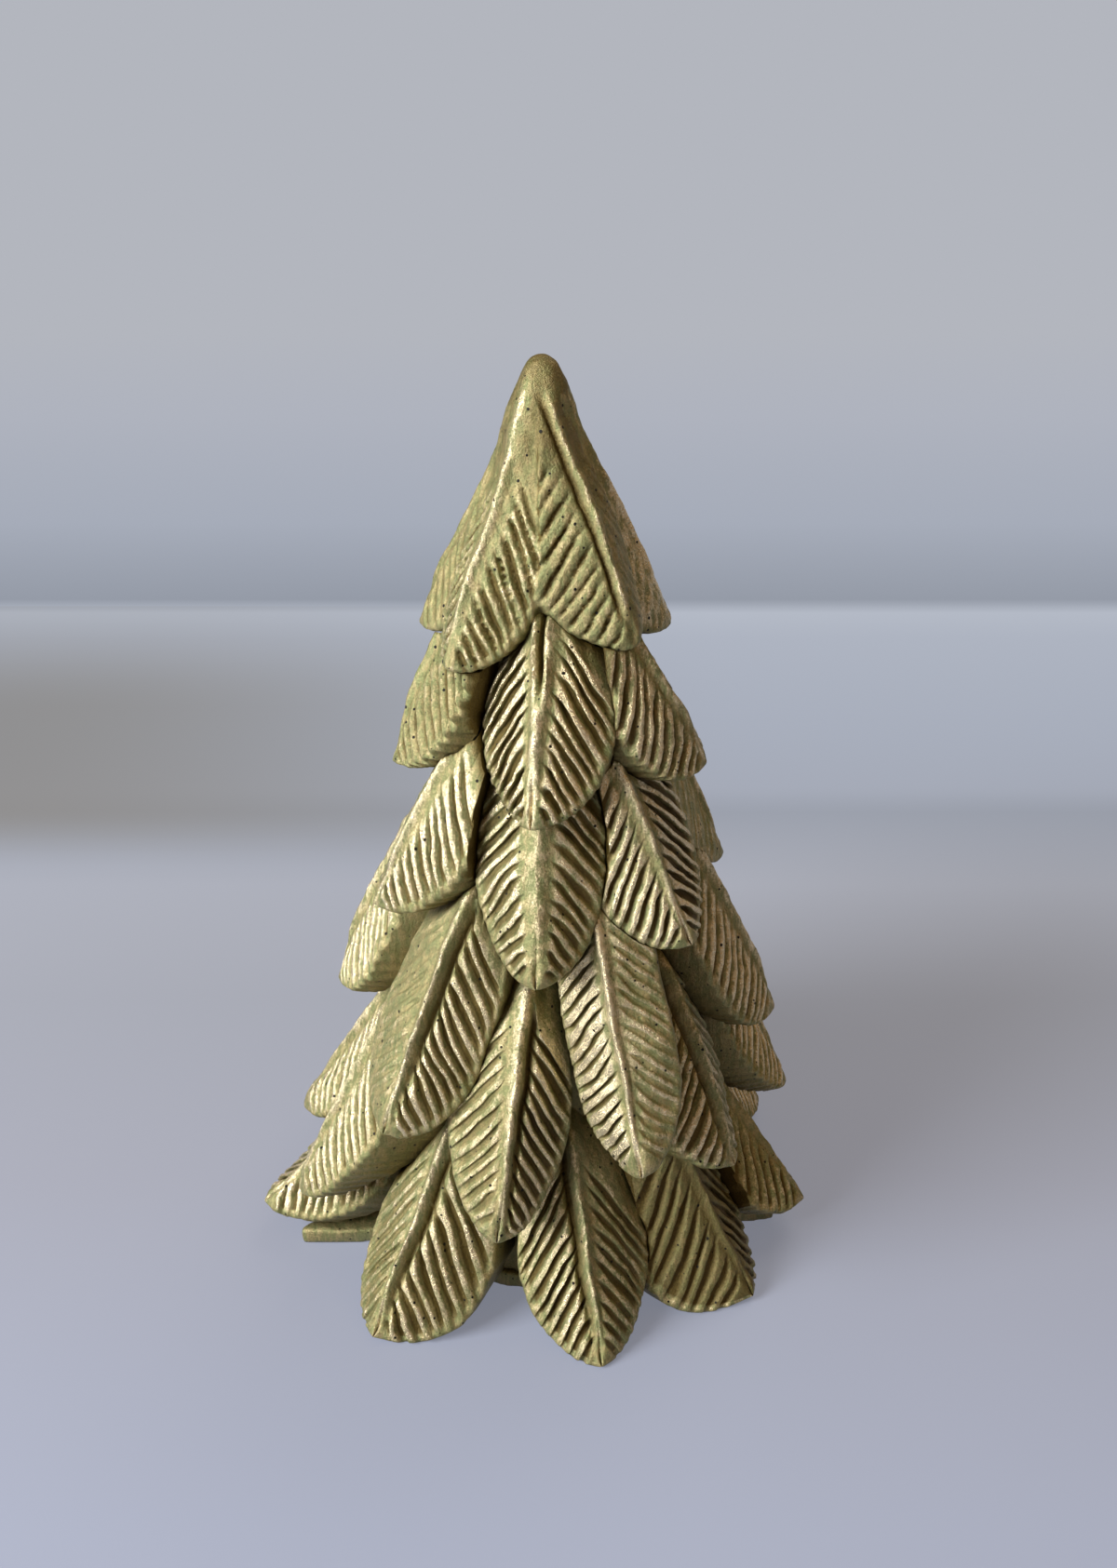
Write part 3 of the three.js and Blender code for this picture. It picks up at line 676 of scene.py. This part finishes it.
def make_gilded_concrete():
    """Fine cast concrete under satin olive paint with gold dry-brushed over it.

    The gold catches on raised edges and breaks up in short strokes. The grooves, the walls and
    undersides of the leaves and the core turn brown, partly the bare base coat and partly painted
    shade, the hollows under the leaves get painted shade, and small air holes of the casting show
    as dark pits, their near-black colour painted shade.
    """
    material = bpy.data.materials.new("gilded_concrete")
    material.use_nodes = True
    tree = material.node_tree
    shader = tree.nodes["Principled BSDF"]
    place = add_node(tree, "ShaderNodeTexCoord", {}, {}).outputs["Object"]
    shine = add_node(tree, "ShaderNodeAttribute", {"attribute_name": "shine"}, {}).outputs["Fac"]

    # Brush strokes run down the tree, about 0.75 mm wide and 3 mm long. The marks of single
    # bristles are finer than the render shows, so these are drawn that coarse
    along = add_node(tree, "ShaderNodeMapping", {}, {"Vector": place, "Scale": (1, 1, STROKE_PRESS)})
    strokes = add_node(tree, "ShaderNodeTexNoise", {}, {
        "Vector": along.outputs["Vector"], "Scale": 1 / (STROKE_WIDTH * MM),
        "Detail": 5.0, "Roughness": 0.7})
    patches = add_node(tree, "ShaderNodeTexNoise", {}, {
        "Vector": place, "Scale": 1 / (PATCH_SIZE * MM), "Detail": 3.0})
    grain = add_node(tree, "ShaderNodeTexNoise", {}, {
        "Vector": place, "Scale": 1 / (GRAIN_SIZE * MM), "Detail": 3.0, "Roughness": 0.75})

    stroke_level = add_node(tree, "ShaderNodeMath", {"operation": "MULTIPLY_ADD"}, {
        0: strokes.outputs["Fac"], 1: 1.1, 2: shine})
    grain_level = add_node(tree, "ShaderNodeMath", {"operation": "MULTIPLY_ADD"}, {
        0: grain.outputs["Fac"], 1: 0.5, 2: stroke_level.outputs[0]})
    patch_level = add_node(tree, "ShaderNodeMath", {"operation": "MULTIPLY_ADD"}, {
        0: patches.outputs["Fac"], 1: 0.5, 2: grain_level.outputs[0]})
    gold = add_node(tree, "ShaderNodeMapRange", {"interpolation_type": "SMOOTHSTEP"}, {
        "Value": patch_level.outputs[0], "From Min": 1.62, "From Max": 2.05})
    gold = gold.outputs["Result"]

    # Thin gold lies over the olive in streaks, thick gold on the edges
    streaks = add_node(tree, "ShaderNodeMapRange", {"interpolation_type": "SMOOTHSTEP"}, {
        "Value": strokes.outputs["Fac"], "From Min": 0.4, "From Max": 0.62})
    olive = add_node(tree, "ShaderNodeMix", {"data_type": "RGBA"}, {
        0: patches.outputs["Fac"], 6: linear("#8c8756"), 7: linear("#848c5b")})
    paint = add_node(tree, "ShaderNodeMix", {"data_type": "RGBA"}, {
        0: streaks.outputs["Result"], 6: olive.outputs[2], 7: linear("#ab9c6b")})
    gilded = add_node(tree, "ShaderNodeMix", {"data_type": "RGBA"}, {
        0: gold, 6: paint.outputs[2], 7: linear("#ebdab0")})
    # Painted shade, partly the bare base coat: where the shine is low the paint turns brown, in the
    # grooves, on the leaf walls and undersides and on the core
    depth = add_node(tree, "ShaderNodeMapRange", {"interpolation_type": "SMOOTHSTEP"}, {
        "Value": shine, "From Min": 0.45, "From Max": 0.0})
    shaded = add_node(tree, "ShaderNodeMix", {"data_type": "RGBA"}, {
        0: depth.outputs["Result"], 6: gilded.outputs[2], 7: linear("#5e4e1e")})
    flecks = add_node(tree, "ShaderNodeMapRange", {}, {
        "Value": grain.outputs["Fac"], "From Min": 0.3, "From Max": 0.7, "To Min": 0.62, "To Max": 1.25})
    speckled = add_node(tree, "ShaderNodeMix", {"data_type": "RGBA", "blend_type": "MULTIPLY"}, {
        0: 1.0, 6: shaded.outputs[2], 7: flecks.outputs["Result"]})

    # Painted shade: in under the leaves and in the hollows between them, where other forms lie close,
    # the paint darkens towards a near-black brown
    occlusion = add_node(tree, "ShaderNodeAmbientOcclusion", {"samples": 6}, {
        "Distance": SHADE_REACH * MM})
    shade_share = add_node(tree, "ShaderNodeMapRange", {"interpolation_type": "SMOOTHSTEP"}, {
        "Value": occlusion.outputs["AO"], "From Min": 0.5, "From Max": 0.05, "To Max": 0.85})
    painted_shade = add_node(tree, "ShaderNodeMix", {"data_type": "RGBA"}, {
        0: shade_share.outputs["Result"], 6: speckled.outputs[2], 7: linear("#2e2408")})

    # Air holes: dark dots up to 0.44 mm across, one to every 10 mm2 or so. Their near-black colour is
    # painted shade inside the holes
    bubbles = add_node(tree, "ShaderNodeTexVoronoi", {}, {
        "Vector": place, "Scale": 1 / (HOLE_SPACING * MM)})
    bubble_size = add_node(tree, "ShaderNodeSeparateColor", {}, {"Color": bubbles.outputs["Color"]})
    radius = add_node(tree, "ShaderNodeMapRange", {}, {
        "Value": bubble_size.outputs[0], "From Min": 0.1, "To Min": 0.0,
        "To Max": HOLE_LARGEST})
    pit = add_node(tree, "ShaderNodeMath", {"operation": "LESS_THAN"}, {
        0: bubbles.outputs["Distance"], 1: radius.outputs["Result"]})
    pitted = add_node(tree, "ShaderNodeMix", {"data_type": "RGBA"}, {
        0: pit.outputs[0], 6: painted_shade.outputs[2], 7: linear("#171206")})

    metal = add_node(tree, "ShaderNodeMapRange", {}, {"Value": gold, "To Min": 0.55, "To Max": 0.8})
    gloss = add_node(tree, "ShaderNodeMapRange", {}, {"Value": gold, "To Min": 0.45, "To Max": 0.23})
    height = add_node(tree, "ShaderNodeMath", {"operation": "MULTIPLY_ADD"}, {
        0: strokes.outputs["Fac"], 1: 1.1, 2: grain.outputs["Fac"]})
    sunk = add_node(tree, "ShaderNodeMath", {"operation": "MULTIPLY_ADD"}, {
        0: pit.outputs[0], 1: -3.0, 2: height.outputs[0]})
    relief = add_node(tree, "ShaderNodeBump", {}, {
        "Strength": 0.9, "Distance": PAINT_RELIEF * MM, "Height": sunk.outputs[0]})

    for socket, source in {
        "Base Color": pitted.outputs[2],
        "Metallic": metal.outputs["Result"],
        "Roughness": gloss.outputs["Result"],
        "Normal": relief.outputs["Normal"],
    }.items():
        tree.links.new(source, shader.inputs[socket])
    return material


gilded_concrete = make_gilded_concrete()


# Laying out the tiers

noise.seed_set(HAND_SEED)

tier_shapes = []
above = None
for tier in TIERS:
    root_height = above["tip_height"] + tier["overlap"] if above else TREE_HEIGHT - CROWN_START
    tier_shapes.append([leaf_shape(tier, leaf, root_height) for leaf in tier["leaves"]])
    above = tier

covers = bpy.data.collections.new("covers")
bpy.context.scene.collection.children.link(covers)

# The crown: the top tier and the cap are one casting

crown_nodes = ["cap"]
crown_form = node_form("cap")
cap_shine = crown_form.verts.layers.float["shine"]
for vertex in crown_form.verts:
    vertex[cap_shine] = CAP_SHINE
    up_cap = (vertex.co.z - CAP_BASE) / CAP_HEIGHT
    tuck = lerp(CAP_RIM_TUCK, 1, smooth_step(0, 0.6, up_cap))
    vertex.co.x *= tuck
    vertex.co.y *= tuck
top_shapes = tier_shapes[0]
for i, shape in enumerate(top_shapes):
    form = leaf_form(shape)
    for neighbour in (top_shapes[i - 1], top_shapes[(i + 1) % len(top_shapes)]):
        cut_to_valley(form, shape, neighbour)
    close_cut(form, Vector((0, 0, CROWN_TOP)), Vector((0, 0, 1)))
    leaf = new_piece("crown_leaf", form)
    crown_form.from_mesh(leaf.data)
    bpy.data.objects.remove(leaf)
    crown_nodes.append(f"tier_1_leaf_{i + 1}")
    new_piece(f"cover_1_{i + 1}", cover_form(shape), covers)
crown = new_piece("crown", crown_form)
crown_source = crown.data
remesh(crown, CROWN_SKIN)
soften(crown, 1)
settle(crown)
copy_shine(crown, crown_source)

# The cap is smooth, and its blunt ridges flow into the leaves
blend = crown.vertex_groups.new(name="blend")
for vertex in crown.data.vertices:
    weight = smooth_step(CAP_BASE, CAP_BASE + CROWN_BLEND, vertex.co.z)
    blend.add([vertex.index], weight, "REPLACE")
blending = crown.modifiers.new("blending", "SMOOTH")
blending.factor = 0.6
blending.iterations = 40
blending.vertex_group = "blend"
settle(crown)

# The shine falls towards the top, which leaves the crown browner there
crown_shine = crown.data.attributes["shine"].data
for vertex in crown.data.vertices:
    toward_top = smooth_step(CROWN_TOP_SHINE_START, CROWN_TOP_SHINE_END, vertex.co.z)
    crown_shine[vertex.index].value *= lerp(1, CROWN_TOP_SHINE, toward_top)

# The midribs of the two front leaves run up over the cap: a thin bead beside a groove on the
# right one, a rounded ridge on the left one
for leaf_index, groove_depth, bead_width in CROWN_LINES:
    shape = top_shapes[leaf_index]
    for vertex in crown.data.vertices:
        offset = vertex.co - shape["root"]
        place = offset.dot(shape["along"]) / shape["length"]
        across = offset.dot(shape["side"])
        if offset.dot(shape["outward"]) < -3 or abs(across) > 2:  # inside, or off the midrib
            continue
        reach = smooth_step(-0.2, -0.08, place) * (1 - smooth_step(0.75, 0.9, place))
        groove = reach * groove_depth * math.exp(-((across + 0.7) / 0.3) ** 2)
        bead = reach * math.exp(-((across + 0.1) / bead_width) ** 2)
        vertex.co += shape["outward"] * CROWN_LINE_DEPTH * (0.45 * bead - groove)
        # The bead takes a rib's gold; the groove turns brown, partly painted shade
        level = crown_shine[vertex.index].value
        crown_shine[vertex.index].value = lerp(lerp(level, RIB_SHINE, bead), 0.02, groove)
finish_casting(crown, crown_nodes)

# The other leaves, each cut back to clear the ones that lie over it

for t, shapes in enumerate(tier_shapes[1:], start=2):
    for i, shape in enumerate(shapes, start=1):
        piece = new_piece(f"leaf_{t}_{i}", leaf_form(shape))
        trim = piece.modifiers.new("trim", "BOOLEAN")
        trim.operation = "DIFFERENCE"
        trim.operand_type = "COLLECTION"
        trim.collection = covers
        trim.solver = "MANIFOLD"
        settle(piece)
        finish_casting(piece, [f"tier_{t}_leaf_{i}"])
        new_piece(f"cover_{t}_{i}", cover_form(shape), covers)

for cover in list(covers.objects):
    bpy.data.objects.remove(cover)
bpy.data.collections.remove(covers)

# Core and foot

for node, skin, rounding, node_shine in (
    ("core", CORE_SKIN, 3, CORE_SHINE), ("foot", FOOT_SKIN, 14, FOOT_SHINE),
):
    piece = new_piece("cast_" + node, node_form(node))
    remesh(piece, skin)
    soften(piece, rounding)
    settle(piece)
    # Low shine turns the core brown and the foot a little browner: painted shade where they lie in under
    # the leaves, partly the bare base coat
    shine = piece.data.attributes.new("shine", "FLOAT", "POINT")
    shine.data.foreach_set("value", [node_shine] * len(piece.data.vertices))
    finish_casting(piece, [node])


# The floor, the lights and the camera, all in metres

FLOOR_HALF_SIZE = 6
TREE_MIDDLE = Vector((0, 0, 0.06))

# How far behind the tree's axis the ledge turns brown, fades and ends, and the glow is full

LEDGE_START = 0.085
LEDGE_BROWN = 0.108
LEDGE_FADE = 0.15
LEDGE_FAINT = 0.207
LEDGE_END = 0.208
GLOW_START = 0.04
GLOW_FULL = 0.15

# The camera's place and tilt up from straight down were fitted to the photograph

CAMERA_PLACE = (0.00193, -0.1962, 0.1771)
CAMERA_TILT = math.radians(60.6)
CAMERA_LENS = 40.6

floor_form = bmesh.new()
bmesh.ops.create_grid(floor_form, x_segments=1, y_segments=1, size=FLOOR_HALF_SIZE)
floor = new_piece("floor", floor_form)

# A pale satin worktop. Each row is a distance behind the tree's axis and the tone there. The
# worktop's back edge and the top of the low ledge behind it are soft dark lines, and the ledge
# is browner on the left. To the camera the worktop glows in its own colour: by half near the
# tree, so that a soft shadow stays, and in full further back

BACKDROP_END = 0.46
BACKDROP = [
    (-0.060, "#a5acc0"), (0.000, "#a1a5b4"), (0.045, "#a0a5b2"), (0.080, "#a8adba"), (0.107, "#9ba1ae"),
    (0.116, "#a5abb9"), (0.190, "#aeb4c1"), (0.204, "#b4bac6"), (0.212, "#959ba7"), (0.265, "#a6acb9"),
    (0.360, "#afb3be"), (BACKDROP_END, "#b3b6be"),
]
floor_paint = bpy.data.materials.new("pale_worktop")
floor_paint.use_nodes = True
floor_tree = floor_paint.node_tree
floor_shader = floor_tree.nodes["Principled BSDF"]
floor_shader.inputs["Roughness"].default_value = 0.7
floor_place = add_node(floor_tree, "ShaderNodeTexCoord", {}, {}).outputs["Object"]
floor_axes = add_node(floor_tree, "ShaderNodeSeparateXYZ", {}, {"Vector": floor_place})
backdrop_start = BACKDROP[0][0]
backwards = add_node(floor_tree, "ShaderNodeMapRange", {}, {
    "Value": floor_axes.outputs["Y"], "From Min": backdrop_start, "From Max": BACKDROP_END})
bands = add_node(floor_tree, "ShaderNodeValToRGB", {}, {"Fac": backwards.outputs["Result"]})
stops = bands.color_ramp.elements
for distance, _ in BACKDROP[1:-1]:
    stops.new((distance - backdrop_start) / (BACKDROP_END - backdrop_start))
for stop, (_, colour) in zip(stops, BACKDROP):
    stop.color = linear(colour)

ledge_front = add_node(floor_tree, "ShaderNodeMapRange", {"interpolation_type": "SMOOTHSTEP"}, {
    "Value": floor_axes.outputs["Y"], "From Min": LEDGE_START, "From Max": LEDGE_BROWN})
ledge_back = add_node(floor_tree, "ShaderNodeMapRange", {"interpolation_type": "SMOOTHSTEP"}, {
    "Value": floor_axes.outputs["Y"], "From Min": LEDGE_FAINT, "From Max": LEDGE_FADE, "To Min": 0.25})
ledge_left = add_node(floor_tree, "ShaderNodeMapRange", {"interpolation_type": "SMOOTHSTEP"}, {
    "Value": floor_axes.outputs["X"], "From Min": 0.05, "From Max": -0.12, "To Max": 0.85})
ledge = add_node(floor_tree, "ShaderNodeMath", {"operation": "MULTIPLY"}, {
    0: ledge_front.outputs["Result"], 1: ledge_back.outputs["Result"]})
ledge = add_node(floor_tree, "ShaderNodeMath", {"operation": "MULTIPLY"}, {
    0: ledge.outputs[0], 1: ledge_left.outputs["Result"]})
before_ledge_end = add_node(floor_tree, "ShaderNodeMath", {"operation": "LESS_THAN"}, {
    0: floor_axes.outputs["Y"], 1: LEDGE_END})
ledge = add_node(floor_tree, "ShaderNodeMath", {"operation": "MULTIPLY"}, {
    0: ledge.outputs[0], 1: before_ledge_end.outputs[0]})
floor_colour = add_node(floor_tree, "ShaderNodeMix", {"data_type": "RGBA"}, {
    0: ledge.outputs[0], 6: bands.outputs["Color"], 7: linear("#8c8a88")}).outputs[2]
floor_tree.links.new(floor_colour, floor_shader.inputs["Base Color"])
floor_glow = add_node(floor_tree, "ShaderNodeEmission", {}, {"Color": floor_colour, "Strength": 1.0})
floor_rays = add_node(floor_tree, "ShaderNodeLightPath", {}, {})
floor_seen = add_node(floor_tree, "ShaderNodeMath", {"operation": "MAXIMUM"}, {
    0: floor_rays.outputs["Is Camera Ray"], 1: floor_rays.outputs["Is Glossy Ray"]})
glow_share = add_node(floor_tree, "ShaderNodeMapRange", {"interpolation_type": "SMOOTHSTEP"}, {
    "Value": floor_axes.outputs["Y"], "From Min": GLOW_START, "From Max": GLOW_FULL, "To Min": 0.5})
floor_share = add_node(floor_tree, "ShaderNodeMath", {"operation": "MULTIPLY"}, {
    0: floor_seen.outputs[0], 1: glow_share.outputs["Result"]})
floor_mix = add_node(floor_tree, "ShaderNodeMixShader", {}, {
    0: floor_share.outputs[0], 1: floor_shader.outputs["BSDF"], 2: floor_glow.outputs["Emission"]})
floor_tree.links.new(
    floor_mix.outputs["Shader"], floor_tree.nodes["Material Output"].inputs["Surface"])
floor.data.materials.append(floor_paint)

# A warm dim room lights the tree, and the camera sees its far wall in the backdrop's last tone

world = bpy.data.worlds.new("room")
world.use_nodes = True
room_tree = world.node_tree
room = room_tree.nodes["Background"]
room.inputs["Color"].default_value = linear("#deb27a")
room.inputs["Strength"].default_value = 0.35
far_wall = add_node(room_tree, "ShaderNodeBackground", {}, {"Color": linear(BACKDROP[-1][1])})
room_rays = add_node(room_tree, "ShaderNodeLightPath", {}, {})
room_mix = add_node(room_tree, "ShaderNodeMixShader", {}, {
    0: room_rays.outputs["Is Camera Ray"],
    1: room.outputs["Background"],
    2: far_wall.outputs["Background"],
})
room_tree.links.new(room_mix.outputs["Shader"], room_tree.nodes["World Output"].inputs["Surface"])
bpy.context.scene.world = world


def softbox(name, place, size, power, colour):
    """A square lamp that faces the middle of the tree."""
    lamp = bpy.data.lights.new(name, "AREA")
    lamp.size = size
    lamp.energy = power
    lamp.color = linear(colour)[:3]
    holder = bpy.data.objects.new(name, lamp)
    holder.location = place
    holder.rotation_euler = (TREE_MIDDLE - holder.location).to_track_quat("-Z", "Y").to_euler()
    bpy.context.scene.collection.objects.link(holder)


# A cool window on the left, in front, and a weak warm skylight behind on the right
softbox("window", Vector((-0.53, -0.32, 0.38)), 0.38, 9.3, "#f6faff")
softbox("skylight", Vector((0.25, 0.40, 0.60)), 0.40, 1.3, "#fff8ec")

lens = bpy.data.cameras.new("camera")
lens.lens = CAMERA_LENS
lens.clip_start = 0.01
camera = bpy.data.objects.new("camera", lens)
camera.location = CAMERA_PLACE
camera.rotation_euler = (CAMERA_TILT, 0, 0)
bpy.context.scene.collection.objects.link(camera)
bpy.context.scene.camera = camera
bpy.context.scene.view_settings.view_transform = "Standard"
